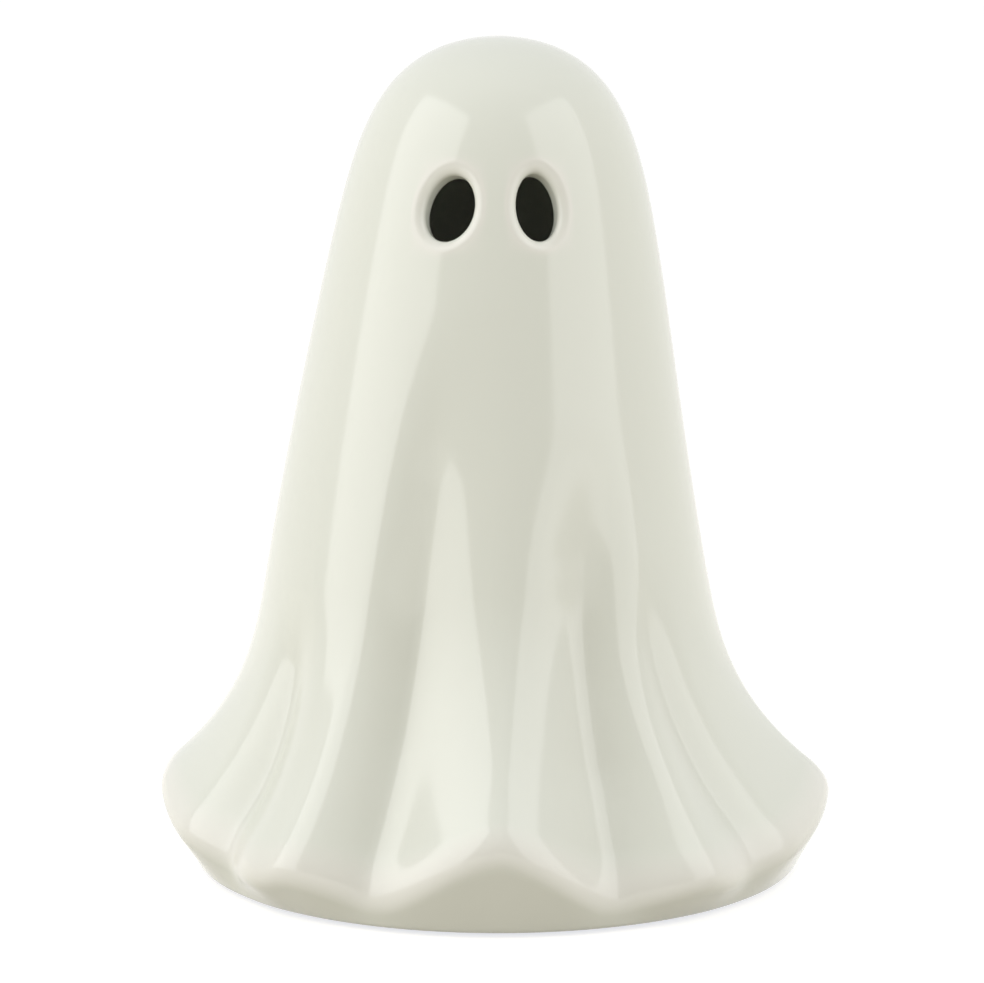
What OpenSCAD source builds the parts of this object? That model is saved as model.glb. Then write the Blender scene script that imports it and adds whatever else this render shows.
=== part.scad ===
// Ceramic ghost figure with a battery light unit in its base.
// A slip-cast, glazed shell in the shape of a draped sheet stands on four soft pads.
// A round plastic unit with one lamp plugs into the hole in the shell's base, and its
// battery door, screws and switch are on its underside.
// Millimetres. The origin is on the table, under the shell's axis. The face looks along -Y.

/* [Figure] */
// Height from the table to the crown
figure_h = 160; // [140:1:180]
// Radius of the drape where the dome begins
crown_r = 24.4; // [22:0.1:28]
// Height over which the crown rounds off
dome_h = 9.5; // [7:0.1:12]
// How much wider the drape gets for each millimetre down
slope_share = 0.178; // [0.15:0.002:0.2]
// Depth of the figure as a share of its width
depth_share = 0.92; // [0.88:0.01:1]
// Sideways lean of the middle of the drape
lean = 2.2; // [0:0.1:4]

/* [Hem and folds] */
// Height of the hem between its lowest points
hem_h = 18; // [14:0.5:20]
// Height at which the drape starts to flare
flare_h = 60; // [45:1:66]
// Extra radius that the flare adds at the hem
flare_r = 16.9; // [14:0.1:17.5]
// Radius of the rounded hem edge
hem_round = 4.5; // [2:0.1:6]
// Depth of the deepest fold at the hem
fold_depth = 9.4; // [6:0.1:11]
// How far the deepest fold pulls the hem down
hem_drop = 11.5; // [8:0.1:13]

/* [Shell] */
// Thickness of the cast wall
wall = 4.6; // [4:0.1:5.4]
// Extra thickness of the wall just above the hem
hem_wall = 3.2; // [2:0.1:5]
// Radius of the flat foot
foot_r = 58.2; // [56:0.1:60]
// Radius of the foot's edge
foot_round = 1; // [0.5:0.1:1.5]
// Width of the flat foot round the hollow under it
foot_w = 16.2; // [14.2:0.1:20.2]
// Depth of the hollow under the foot
recess_h = 2.4; // [2.2:0.1:3]
// Radius of the flat floor inside the shell
floor_r = 43; // [40:0.5:44]

/* [Eyes] */
// Width of an eye hole
eye_w = 8.6; // [7:0.1:10]
// Height of an eye hole
eye_h = 11.8; // [9:0.1:14]
// Height of the eyes above the table
eye_z = 130.2; // [122:0.2:134]
// Angle of the eyes from the middle of the face
eye_angle = 17; // [14:0.5:20]
// Turn of the face towards -X
face_turn = 0.9; // [0:0.1:3]
// How far each eye leans towards the middle at its top
eye_tilt = 8; // [0:1:20]
// How far each eye hole points up
eye_pitch = 18; // [0:1:24]
// Width of the softened rim round an eye hole
eye_rim = 1.3; // [0.6:0.1:2]

/* [Foot pads] */
// Thickness of a pad
pad_t = 0.8; // [0.6:0.1:2]
// Radius of a pad
pad_r = 4; // [3:0.1:4.5]
// How far the middle of a pad lies inside the edge of the foot
pad_edge = 10.2; // [9.2:0.1:11.2]
// Number of pads
pad_count = 4; // [3:1:6]

/* [Light unit] */
// Radius of the case
case_r = 18; // [16:0.1:20]
// Wall of the case
case_wall = 1.6; // [1.2:0.1:1.8]
// Height of the case above the shell's base
case_h = 18.4; // [18:0.1:26]
// Radius of the flange under the base
flange_r = 21.5; // [21:0.1:26]
// Thickness of the flange
flange_t = 2; // [1.8:0.1:2.1]
// Clearance between the unit and the hole in the shell
unit_clear = 0.2; // [0.1:0.05:0.4]
// Height that the grip ring's two collars stand out of the case
collar_t = 0.7; // [0.5:0.1:0.9]
// Height that the grip ring stands out of the case
grip_t = 1.1; // [1:0.1:1.4]
// Height of each collar
collar_h = 0.6; // [0.4:0.1:0.8]

/* [Battery] */
// Thickness of the coin cell
cell_t = 3.2; // [2.5:0.1:3.4]
// How far the cell lies behind the unit's axis
cell_y = 3.2; // [3:0.1:3.4]
// Room between the wall of the case and the ring round the cell
case_room = 1.6; // [1.4:0.1:1.8]
// Gap round the cell, which fills the rest of its ring
cell_gap = 0.4; // [0.2:0.05:0.5]
// Clearance round the battery door
door_clear = 0.2; // [0.1:0.05:0.3]
// How far the door's lugs reach past the battery opening
lug_reach = 1.4; // [1:0.1:1.6]
// Thickness of a lug
lug_t = 1; // [0.8:0.1:1.2]
// Half of the angle that a lug takes
lug_angle = 12; // [8:1:14]
// Turn from the locked door to the open door
door_turn = 45; // [40:1:50]

/* [Electrics] */
// Thickness of the circuit board
board_t = 1.2; // [1:0.1:1.6]
// Radius of the lamp
lamp_r = 2.5; // [1.5:0.1:2.5]
// Height of the lamp's body above its rim
lamp_h = 7.6; // [5:0.1:8]
// Thickness of the contact strips
strip_t = 0.3; // [0.2:0.05:0.4]
// Width of the contact strips
strip_w = 4; // [3:0.1:4.5]
// Size of the switch along its travel
switch_w = 8.6; // [8:0.1:9]
// Size of the switch across its travel
switch_d = 3.6; // [3.4:0.1:3.7]
// Height of the switch
switch_h = 3.6; // [3.2:0.1:4]
// Travel of the switch
switch_travel = 2; // [1.6:0.1:2.2]
// Room between the switch's front corners and the ring on the base
switch_room = 1.1; // [0.9:0.1:1.2]

/* [Screws] */
// Radius of the screw shank
screw_r = 1; // [0.8:0.05:1.1]
// Radius of the screw head
screw_head_r = 1.9; // [1.7:0.05:2]
// Height of the screw head
screw_head_h = 1.2; // [1:0.05:1.25]
// Length of the screw under its head
screw_l = 6; // [5:0.1:7]
// How far in front of the unit's sides the screws stand, in degrees round its axis
screw_angle = 23; // [20:0.5:25]

/* [Hidden] */

// Overrun of every cut
cut = 0.5;

// Folds of the drape: angle from the face at the hem, angle at the fold's top,
// where the fold starts as a share of the height, depth share, reach to the left and to the
// right in degrees, share of the hem's drop, and how steep the walls are.
fold_shares = [
    [-23, -13.5, 0.70, 0.60, 16, 24, 1.00, 1.3],
    [21.5, 28, 0.57, 0.64, 21, 18, 1.00, 1.3],
    [-56, -54, 0.37, 0.50, 13, 13, 0, 1.3],
    [-45, -45, 0.25, 0, 39, 18, 0.88, 1.0],
    [50, 43, 0.42, 0.34, 13, 13, 0, 1.4],
    [43, 43, 0.25, 0, 18, 40, 0.88, 1.0],
    [84, 84, 0.25, 0, 30, 30, 0.12, 1.2],
    [100, 98, 0.34, 0.55, 17, 24, 0.48, 1.6],
    [150, 150, 0.56, 0.86, 24, 20, 0.72, 1.4],
    [-84, -84, 0.25, 0, 30, 30, 0.14, 1.2],
    [-106, -106, 0.38, 0.57, 20, 15, 0.48, 1.6],
    [-133, -136, 0.525, 0.71, 16, 22, 0.56, 1.4],
    [-170, -166, 0.625, 0.86, 20, 26, 0.80, 1.4]
];
// How rounded the bottom of a fold is, and the hem's dip under it
fold_soft_share = 0.2;
hem_soft_share = 0.5;
// How rounded the crest between two folds is
crest_soft_share = 0.28;
// How fast a fold turns from its top angle to its hem angle
fold_bend = 1.5;
// How fast a fold opens at its top
fold_open = 3;
// Share of a fold's height at which it reaches its full depth
fold_full_share = 0.8;
// How much narrower a dip in the hem is than its fold
hem_spread_share = 0.92;
// How fast the hem's dips fade upwards
hem_curl = 6;
// How late on its way down the drape flares at its sides, and how much earlier in front
flare_bend = 3.25;
front_bend = 1.25;
// How low on the drape the lean is strongest
lean_bend = 0.75;
// Most of the underside that the hem's rounding may take where the hem is low
under_share = 0.6;
// How much closer the rows lie towards the crown
crown_crowd = 1.5;

// Facets of the two skins
outer_sides = 84;
outer_rows = 34;
inner_sides = 42;
inner_rows = 20;
foot_steps = 2;
hem_steps = 4;
eye_sides = 32;

// Circles of the foot
recess_r = foot_r - foot_w;
pad_ring_r = foot_r - pad_edge;

// Heights inside the shell, from its foot
shell_h = figure_h - pad_t;
crown_in = shell_h - wall;
floor_z = recess_h + wall;
floor_step = 1;
inner_drop = hem_h - floor_z - floor_step;

// Clearance between pieces that are fixed to each other
fit_gap = 0.2;

// Radii of the light unit, from the hole in the shell inwards
bore_r = case_r + grip_t + unit_clear;
case_in_r = case_r - case_wall;
holder_wall = 1.2;
opening_r = case_in_r - case_room - holder_wall - cell_y;
cell_r = opening_r - cell_gap;

// Heights of the light unit, from the table
seat_z = pad_t + recess_h;
flange_z = seat_z - flange_t;
flange_edge = 0.5;
case_top = seat_z + case_h;
case_edge = 1.2;
edge_steps = 6;
grip_z = seat_z + collar_h;
grip_h = wall - 2 * collar_h;
grip_valley_share = 0.55;

// Battery door and what stands on it
door_r = opening_r - door_clear;
lug_r = opening_r + lug_reach;
lug_gap = 0.15;
lug_z = seat_z + lug_gap;
door_top = lug_z + lug_t;
door_rim = 1.8;
coin_slot_edge = 3.2;
coin_slot_l = 2 * (door_r - coin_slot_edge);
coin_slot_w = 2.2;
coin_slot_h = 1;
door_skin = 1;
notch_angle = lug_angle + 3;
cell_lift = 0.1;
cell_z = door_top + cell_lift;
cell_cap_t = 0.3;
cell_cap_step = 1.4;
cell_cap_r = cell_r - cell_cap_step;
cell_edge = 0.4;
contact_gap = 1.25;
board_z = cell_z + cell_t + contact_gap;
board_top = board_z + board_t;
board_r = case_in_r - 2 * fit_gap;
holder_gap = 0.25;
holder_z = door_top + holder_gap;
holder_slot_w = strip_w + 3 * fit_gap;

// Screws and their bosses
boss_wall = 1.5;
boss_r = screw_r + boss_wall;
boss_sink = 0.2;
screw_ring_r = case_in_r + boss_sink - boss_r;
screw_x = screw_ring_r * cos(screw_angle);
screw_y = screw_ring_r * sin(screw_angle);
shoulder_t = 0.8;
pilot_gap = 0.05;
screw_sink = 0.1;
screw_tip = 1;
head_gap = 0.2;
cross_w = 0.6;
cross_l = 2.2;
cross_h = 0.7;
head_z = flange_z + screw_sink;
shank_z = head_z + screw_head_h;
pilot_top = shank_z + screw_l + fit_gap;

// Spigot and posts of the base
spigot_wall = 1.2;
spigot_h = 1.6;
spigot_r = case_in_r - fit_gap;
post_r = 1.2;
post_inset = 0.15;
post_angle = 45;
post_ring_r = spigot_r - post_r - post_inset;
post_x = post_ring_r * cos(post_angle);
post_y = post_ring_r * sin(post_angle);

// Lamp and its legs
lamp_gap = 0.1;
lamp_rim = 0.4;
lamp_rim_h = 1;
lamp_z = case_top - case_wall - lamp_rim_h;
lead_pitch = 2.54;
lead_w = 0.5;
lead_tail = 0.6;
lead_hole_r = 0.4;

// Contact strips
foot_l = 3;
foot_y = 2.8;
crest_w = 1.2;
tip_l = 1;
tip_rise = 0.35;
side_foot_l = 2.1;
side_lift = 0.6;

// Switch
switch_y = sqrt(pow(spigot_r - spigot_wall - switch_room, 2) - pow(switch_w / 2, 2)) - switch_d / 2;
knob_l = 1.5;
knob_d = 1.5;
knob_out = 0.7;
knob_gap = 0.2;
block_l = 3.4;
block_d = 1.8;
block_h = 1.8;
block_gap = 0.1;
switch_skin = 0.5;
pin_pitch = 2.5;
pin_r = 0.25;
pin_tail = 0.5;
pin_hole_r = 0.35;

// Signed angle between -180 and 180
function wrap(a) = a - 360 * floor((a + 180) / 360);

// Depth share of a fold at x, which is 0 in its floor and 1 where its wall ends
function fold_dip(x, steep, soft) =
    let (
        open = max(0, 1 - (norm([x, soft]) - soft) / (norm([1, soft]) - soft)),
        crest = crest_soft_share
    )
    pow((norm([open, crest]) - crest) / (norm([1, crest]) - crest), steep);

// Share of its full depth that a fold has reached at height z
function fold_grow(f, z) = max(0, min(1, (f[2] * shell_h - z) / (f[2] * shell_h - hem_h)));

// Depth share and hem drop share that one fold adds at angle a and height z
function fold_part(f, a, z) =
    let (
        grow = fold_grow(f, z),
        turn = wrap(a - f[1] - (f[0] - f[1]) * pow(grow, fold_bend)),
        x = turn < 0 ? turn / f[4] : turn / f[5]
    )
    [
        f[3] * min(1, grow / fold_full_share) * sqrt(min(1, fold_open * grow))
            * fold_dip(x, f[7], fold_soft_share),
        f[6] * fold_dip(hem_spread_share * x, f[7], hem_soft_share)
    ];

// Radius and height of the drape at angle a, where v goes from 0 at the hem to 1 at the top
function drape(a, v, top, inset, drop) =
    let (
        z = hem_h + (top - hem_h) * v,
        folds = [for (f = fold_shares) 1] * [for (f = fold_shares) fold_part(f, a, z)],
        bend = flare_bend - front_bend * pow(max(0, cos(a)), 2),
        flare = flare_r * pow(max(0, flare_h - z) / (flare_h - hem_h), bend),
        body = crown_r + slope_share * (shell_h - z) + flare - fold_depth * folds[0] - inset,
        dome = sqrt(max(0, 1 - exp((z - top) / dome_h)))
    )
    [body * dome, z - drop * folds[1] * pow(1 - v, hem_curl)];

// Point in space of a radius and height at angle a
function place(a, p) = [
    p[0] * sin(a) - lean * pow(sin(180 * pow(p[1] / shell_h, lean_bend)), 2),
    -p[0] * cos(a) * depth_share,
    p[1]
];

// Curve from one point to another that is pulled towards a corner
function corner(from, pull, to, steps) = [
    for (i = [0:steps])
        let (t = i / steps)
        pow(1 - t, 2) * from + 2 * t * (1 - t) * pull + pow(t, 2) * to
];

// Outer outline at angle a: foot edge, hem edge, then up to the crown
function outer_outline(a) =
    let (
        foot = [foot_r, 0],
        hem = drape(a, 0, shell_h, 0, hem_drop),
        along = (hem - foot) / norm(hem - foot),
        under = min(hem_round, under_share * norm(hem - foot)),
        start = hem_round / (shell_h - hem_h)
    )
    concat(
        corner(foot - [foot_round, 0], foot, foot + foot_round * along, foot_steps),
        corner(hem - under * along, hem, drape(a, start, shell_h, 0, hem_drop), hem_steps),
        [
            for (i = [1:outer_rows])
                drape(a, 1 - (1 - start) * pow(1 - i / (outer_rows + 1), crown_crowd), shell_h, 0, hem_drop)
        ]
    );

// Inner outline at angle a: floor edge, then up to the top of the cavity
function inner_outline(a) = concat(
    [[floor_r, floor_z]],
    [
        for (i = [0:inner_rows])
            let (v = 1 - pow(1 - i / (inner_rows + 1), crown_crowd))
            drape(a, v, crown_in, wall + hem_wall * pow(1 - v, 2), inner_drop)
    ]
);

// The outlines set up round the axis, as points in space
function outer_columns() = [
    for (i = [0:outer_sides - 1])
        let (a = 360 * i / outer_sides)
        [for (p = outer_outline(a)) place(a, p)]
];
function inner_columns() = [
    for (i = [0:inner_sides - 1])
        let (a = 360 * i / inner_sides)
        [for (p = inner_outline(a)) place(a, p)]
];

// Closed skin through one outline for each angle, with a flat bottom and a peak
module skin(columns, peak_z) {
    sides = len(columns);
    rows = len(columns[0]);
    points = concat([for (c = columns) each c], [[0, 0, peak_z]]);
    faces = concat(
        [[for (i = [0:sides - 1]) i * rows]],
        [
            for (i = [0:sides - 1], j = [0:rows - 2])
                let (a = i * rows + j, b = ((i + 1) % sides) * rows + j)
                each [[a, a + 1, b], [b, a + 1, b + 1]]
        ],
        [
            for (i = [0:sides - 1])
                [i * rows + rows - 1, sides * rows, ((i + 1) % sides + 1) * rows - 1]
        ]
    );
    polyhedron(points, faces);
}

// Oval of an eye, wider by grow all round
module eye_oval(grow) {
    polygon([
        for (i = [0:eye_sides - 1])
            let (t = 360 * i / eye_sides)
            [(eye_w / 2 + grow) * cos(t), (eye_h / 2 + grow) * sin(t)]
    ]);
}

// Cut of one eye from the cavity outwards, with a rim that opens towards the surface
module eye_hole(side) {
    z = eye_z - pad_t;
    a = side * eye_angle - face_turn;
    spot = place(a, drape(a, (z - hem_h) / (shell_h - hem_h), shell_h, 0, 0));
    translate(spot)
        rotate([90 - eye_pitch, 0, a]) {
            translate([0, 0, -2 * wall])
                linear_extrude(2 * wall + eye_rim)
                    rotate(side * eye_tilt) eye_oval(0);
            hull() {
                translate([0, 0, -eye_rim])
                    linear_extrude(cut) rotate(side * eye_tilt) eye_oval(0);
                translate([0, 0, eye_rim])
                    linear_extrude(cut) rotate(side * eye_tilt) eye_oval(2 * eye_rim);
            }
        }
}

module ghost_shell() {
    color("ivory") translate([0, 0, pad_t]) difference() {
        skin(outer_columns(), shell_h);
        skin(inner_columns(), crown_in);
        translate([0, 0, -cut]) cylinder(r = recess_r, h = recess_h + cut, $fn = 96);
        translate([0, 0, -cut]) cylinder(r = bore_r, h = floor_z + 2 * cut, $fn = 96);
        for (side = [-1, 1]) eye_hole(side);
    }
}

// Pads stand under the flat foot, the first one between the face and +X
module foot_pad(i) {
    a = 180 / pad_count + 360 * (i - 1) / pad_count;
    color("dimgray")
        translate([pad_ring_r * sin(a), -pad_ring_r * cos(a) * depth_share, 0])
            cylinder(r = pad_r, h = pad_t, $fn = 48);
}

// Places of the two screws
module at_screws() {
    for (side = [-1, 1]) translate([side * screw_x, -screw_y, 0]) children();
}

// Outline of the case with its rounded top edge
module case_body() {
    rotate_extrude($fn = 96) polygon(concat(
        [[0, seat_z], [case_r, seat_z]],
        [
            for (i = [0:edge_steps])
                let (t = 90 * i / edge_steps)
                [case_r - case_edge + case_edge * cos(t), case_top - case_edge + case_edge * sin(t)]
        ],
        [[0, case_top]]
    ));
}

module unit_case() {
    color("white") difference() {
        union() {
            difference() {
                union() {
                    case_body();
                    for (z = [seat_z, grip_z + grip_h])
                        translate([0, 0, z]) cylinder(r = case_r + collar_t, h = collar_h, $fn = 96);
                }
                translate([0, 0, seat_z - cut])
                    cylinder(r = case_in_r, h = case_h - case_wall + cut, $fn = 96);
            }
            at_screws() translate([0, 0, seat_z])
                cylinder(r = boss_r, h = case_h - case_wall, $fn = 32);
            at_screws() translate([0, 0, board_top])
                cylinder(r = boss_r + shoulder_t, h = case_top - case_wall - board_top, $fn = 32);
        }
        at_screws() translate([0, 0, seat_z - cut])
            cylinder(r = screw_r + pilot_gap, h = pilot_top - seat_z + cut, $fn = 24);
        translate([0, 0, case_top - case_wall - cut])
            cylinder(r = lamp_r + lamp_gap, h = case_wall + 2 * cut, $fn = 32);
    }
}

// Flat wedge from the centre, reach degrees to each side of +X
module wedge(length, reach, h) {
    linear_extrude(h) polygon([
        [0, 0],
        [length * cos(reach), -length * sin(reach)],
        [length * cos(reach), length * sin(reach)]
    ]);
}

// Two opposite wedges of a disc, for the door's lugs and the notches that let them in
module lug_pair(r, reach, z, h) {
    for (turn = [0, 180])
        rotate(turn) intersection() {
            translate([0, 0, z]) cylinder(r = r, h = h, $fn = 64);
            translate([0, 0, z]) wedge(2 * r, reach, h);
        }
}

// Slot that the switch knob slides in, from height z up
module knob_slot(z, h) {
    slot_l = knob_l + switch_travel + 2 * knob_gap;
    slot_d = knob_d + 2 * knob_gap;
    translate([-slot_l / 2, -switch_y - slot_d / 2, z]) cube([slot_l, slot_d, h]);
}

module unit_base() {
    color("whitesmoke") difference() {
        union() {
            translate([0, 0, flange_z])
                cylinder(r1 = flange_r - flange_edge, r2 = flange_r, h = flange_edge, $fn = 96);
            translate([0, 0, flange_z + flange_edge])
                cylinder(r = flange_r, h = flange_t - flange_edge, $fn = 96);
            difference() {
                translate([0, 0, seat_z - cut]) cylinder(r = spigot_r, h = spigot_h + cut, $fn = 96);
                translate([0, 0, seat_z])
                    cylinder(r = spigot_r - spigot_wall, h = spigot_h + cut, $fn = 96);
                at_screws() translate([0, 0, seat_z])
                    cylinder(r = boss_r + fit_gap, h = spigot_h + cut, $fn = 32);
            }
            for (side = [-1, 1])
                translate([side * post_x, -post_y, seat_z - cut])
                    cylinder(r = post_r, h = board_z - seat_z + cut, $fn = 24);
        }
        translate([0, cell_y, flange_z - cut]) cylinder(r = opening_r, h = flange_t + 2 * cut, $fn = 96);
        translate([0, cell_y, 0]) rotate(-door_turn)
            lug_pair(lug_r + door_clear, notch_angle, flange_z - cut, flange_t + 2 * cut);
        knob_slot(flange_z - cut, flange_t + 2 * cut);
        at_screws() translate([0, 0, flange_z - cut])
            cylinder(r = screw_head_r + head_gap, h = cut + screw_sink + screw_head_h, $fn = 32);
        at_screws() translate([0, 0, flange_z - cut])
            cylinder(r = screw_r + pilot_gap, h = flange_t + 2 * cut, $fn = 24);
    }
}

// Soft ring between the case's two collars, with two raised ribs
module grip_ring() {
    valley = case_r + grip_valley_share * grip_t;
    peak = case_r + grip_t;
    color("gainsboro") rotate_extrude($fn = 96) polygon([
        [case_r, grip_z],
        [valley, grip_z],
        [peak, grip_z + grip_h / 5],
        [peak, grip_z + grip_h * 3 / 10],
        [valley, grip_z + grip_h / 2],
        [peak, grip_z + grip_h * 7 / 10],
        [peak, grip_z + grip_h * 4 / 5],
        [valley, grip_z + grip_h],
        [case_r, grip_z + grip_h]
    ]);
}

// Self-tapping pan-head screw with a cross recess, driven up from below
module case_screw(side) {
    color("silver") translate([side * screw_x, -screw_y, 0]) difference() {
        union() {
            translate([0, 0, head_z]) cylinder(r = screw_head_r, h = screw_head_h, $fn = 32);
            translate([0, 0, shank_z]) cylinder(r = screw_r, h = screw_l - screw_tip, $fn = 24);
            translate([0, 0, shank_z + screw_l - screw_tip])
                cylinder(r1 = screw_r, r2 = screw_r / 4, h = screw_tip, $fn = 24);
        }
        for (turn = [0, 90])
            rotate(turn) translate([-cross_l / 2, -cross_w / 2, head_z - cut])
                cube([cross_l, cross_w, cross_h + cut]);
    }
}

module circuit_board() {
    color("darkgreen") difference() {
        translate([0, 0, board_z]) cylinder(r = board_r, h = board_t, $fn = 96);
        at_screws() translate([0, 0, board_z - cut])
            cylinder(r = boss_r + fit_gap, h = board_t + 2 * cut, $fn = 32);
        for (side = [-1, 1])
            translate([side * lead_pitch / 2, 0, board_z - cut])
                cylinder(r = lead_hole_r, h = board_t + 2 * cut, $fn = 16);
        for (i = [-1:1])
            translate([i * pin_pitch, -switch_y, board_z - cut])
                cylinder(r = pin_hole_r, h = board_t + 2 * cut, $fn = 16);
    }
}

// Ring round the cell, open in front where the side contact comes in
module cell_holder() {
    color("white") difference() {
        translate([0, cell_y, holder_z])
            cylinder(r = opening_r + holder_wall, h = board_z - holder_z, $fn = 96);
        translate([0, cell_y, holder_z - cut])
            cylinder(r = opening_r, h = board_z - holder_z + 2 * cut, $fn = 96);
        translate([-holder_slot_w / 2, cell_y - opening_r - holder_wall - cut, holder_z - cut])
            cube([holder_slot_w, holder_wall + 2 * cut, board_z - holder_z + 2 * cut]);
    }
}

module coin_cell() {
    color("silver") translate([0, cell_y, cell_z]) {
        cylinder(r1 = cell_r - cell_edge, r2 = cell_r, h = cell_edge, $fn = 96);
        translate([0, 0, cell_edge])
            cylinder(r = cell_r, h = cell_t - cell_cap_t - cell_edge, $fn = 96);
        translate([0, 0, cell_t - cell_cap_t]) cylinder(r = cell_cap_r, h = cell_cap_t, $fn = 96);
    }
}

// Bent strip, strip_w wide, whose side view is the outline in Y and Z
module strip(outline) {
    color("gold") translate([-strip_w / 2, 0, 0])
        rotate([90, 0, 90]) linear_extrude(strip_w) polygon(outline);
}

// Sprung strip under the board that presses on the cell's cap
module cell_contact_centre() {
    cap_z = cell_z + cell_t + strip_t;
    line = [
        [cell_y + foot_y + foot_l, board_z],
        [cell_y + foot_y, board_z],
        [cell_y + crest_w / 2, cap_z],
        [cell_y - crest_w / 2, cap_z],
        [cell_y - crest_w / 2 - tip_l, cap_z + tip_rise]
    ];
    strip(concat(line, [for (i = [len(line) - 1:-1:0]) line[i] - [0, strip_t]]));
}

// Strip under the board that touches the side of the cell's can
module cell_contact_side() {
    can_y = cell_y - cell_r;
    strip([
        [can_y, cell_z + side_lift],
        [can_y, board_z],
        [can_y - side_foot_l - strip_t, board_z],
        [can_y - side_foot_l - strip_t, board_z - strip_t],
        [can_y - strip_t, board_z - strip_t],
        [can_y - strip_t, cell_z + side_lift]
    ]);
}

module led_lens() {
    color("lightyellow") translate([0, 0, lamp_z]) {
        cylinder(r = lamp_r + lamp_rim, h = lamp_rim_h, $fn = 32);
        cylinder(r = lamp_r, h = lamp_rim_h + lamp_h - lamp_r, $fn = 32);
        translate([0, 0, lamp_rim_h + lamp_h - lamp_r]) sphere(r = lamp_r, $fn = 32);
    }
}

module led_lead(side) {
    color("silver") translate([side * lead_pitch / 2 - lead_w / 2, -lead_w / 2, board_z - lead_tail])
        cube([lead_w, lead_w, lamp_z - board_z + lead_tail]);
}

module switch_housing() {
    block_room = block_l + switch_travel + 2 * knob_gap;
    block_side = block_d + 2 * knob_gap;
    color("silver") difference() {
        translate([-switch_w / 2, -switch_y - switch_d / 2, seat_z]) cube([switch_w, switch_d, switch_h]);
        translate([-block_room / 2, -switch_y - block_side / 2, seat_z + switch_skin])
            cube([block_room, block_side, block_h + 2 * block_gap]);
        knob_slot(seat_z - cut, switch_skin + 2 * cut);
    }
}

module switch_pin(i) {
    color("silver") translate([(i - 2) * pin_pitch, -switch_y, seat_z + switch_h])
        cylinder(r = pin_r, h = board_top + pin_tail - seat_z - switch_h, $fn = 16);
}

// Block inside the switch with the knob that comes out of the flange, at its off end
module switch_slider() {
    block_z = seat_z + switch_skin + block_gap;
    knob_z = flange_z - knob_out;
    color("black") translate([-switch_travel / 2, -switch_y, 0]) {
        translate([-block_l / 2, -block_d / 2, block_z]) cube([block_l, block_d, block_h]);
        translate([-knob_l / 2, -knob_d / 2, knob_z]) cube([knob_l, knob_d, block_z - knob_z + cut]);
    }
}

// Round door with two lugs over the flange, a coin slot below and a rim that carries the cell
module battery_door() {
    color("whitesmoke") translate([0, cell_y, 0]) difference() {
        union() {
            translate([0, 0, flange_z]) cylinder(r = door_r, h = door_top - flange_z, $fn = 96);
            lug_pair(lug_r, lug_angle, lug_z, lug_t);
        }
        translate([0, 0, flange_z + coin_slot_h + door_skin])
            cylinder(r = door_r - door_rim, h = door_top - flange_z, $fn = 96);
        translate([-coin_slot_l / 2, -coin_slot_w / 2, flange_z - cut])
            cube([coin_slot_l, coin_slot_w, coin_slot_h + cut]);
    }
}

ghost_shell();
for (i = [1:pad_count]) foot_pad(i);
unit_case();
unit_base();
grip_ring();
case_screw(-1);  // case_screw_1
case_screw(1);  // case_screw_2
circuit_board();
cell_holder();
coin_cell();
cell_contact_centre();
cell_contact_side();
led_lens();
led_lead(-1);  // led_lead_1
led_lead(1);  // led_lead_2
switch_housing();
for (i = [1:3]) switch_pin(i);
switch_slider();
battery_door();
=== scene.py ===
import bpy
import bmesh
import math
import numpy as np
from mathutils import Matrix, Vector


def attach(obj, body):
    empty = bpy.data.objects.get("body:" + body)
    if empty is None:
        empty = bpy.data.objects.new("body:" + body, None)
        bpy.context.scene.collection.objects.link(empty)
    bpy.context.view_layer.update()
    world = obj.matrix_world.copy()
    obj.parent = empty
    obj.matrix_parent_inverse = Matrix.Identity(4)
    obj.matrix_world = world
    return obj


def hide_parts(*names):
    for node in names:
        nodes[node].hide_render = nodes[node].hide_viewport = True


# A glazed ceramic ghost with a battery light unit plugged into its base.
# Sizes below are in millimetres, and the face looks along -Y.

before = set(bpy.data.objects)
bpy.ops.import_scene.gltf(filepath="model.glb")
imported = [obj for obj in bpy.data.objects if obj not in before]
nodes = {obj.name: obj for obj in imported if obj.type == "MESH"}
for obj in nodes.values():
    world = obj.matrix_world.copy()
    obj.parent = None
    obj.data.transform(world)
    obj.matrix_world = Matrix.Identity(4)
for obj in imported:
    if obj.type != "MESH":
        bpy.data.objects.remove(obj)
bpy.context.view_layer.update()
scene = bpy.context.scene
millimetre = 0.001
print("frame loaded:", len(nodes), "CAD nodes")


def linearColour(hexCode):
    # sRGB hex to the linear colour that Blender wants
    values = [int(hexCode[i:i + 2], 16) / 255 for i in (1, 3, 5)]
    return tuple(v / 12.92 if v <= 0.04045 else ((v + 0.055) / 1.055) ** 2.4
                 for v in values) + (1.0,)


def perMetre(size):
    # texture scale that gives features of this many millimetres
    return 1000 / size


def addNode(tree, kind, settings=None, inputs=None):
    # one shader node with its settings, and its sockets set or linked
    node = tree.nodes.new("ShaderNode" + kind)
    for name, value in (settings or {}).items():
        setattr(node, name, value)
    for socket, value in (inputs or {}).items():
        if isinstance(value, bpy.types.NodeSocket):
            tree.links.new(value, node.inputs[socket])
        else:
            node.inputs[socket].default_value = value
    return node


def addNoise(tree, place, size, detail):
    # cloudy noise with features of this many millimetres
    return addNode(tree, "TexNoise", inputs={
        "Vector": place, "Scale": perMetre(size), "Detail": detail}).outputs["Fac"]


def addMath(tree, operation, first, second):
    return addNode(tree, "Math", {"operation": operation}, {0: first, 1: second}).outputs[0]


def addRange(tree, value, low, high, start=0.0, end=1.0):
    # low where the value is at its start, high at its end, and even between them
    return addNode(tree, "MapRange", inputs={
        0: value, 1: start, 2: end, 3: low, 4: high}).outputs[0]


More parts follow.
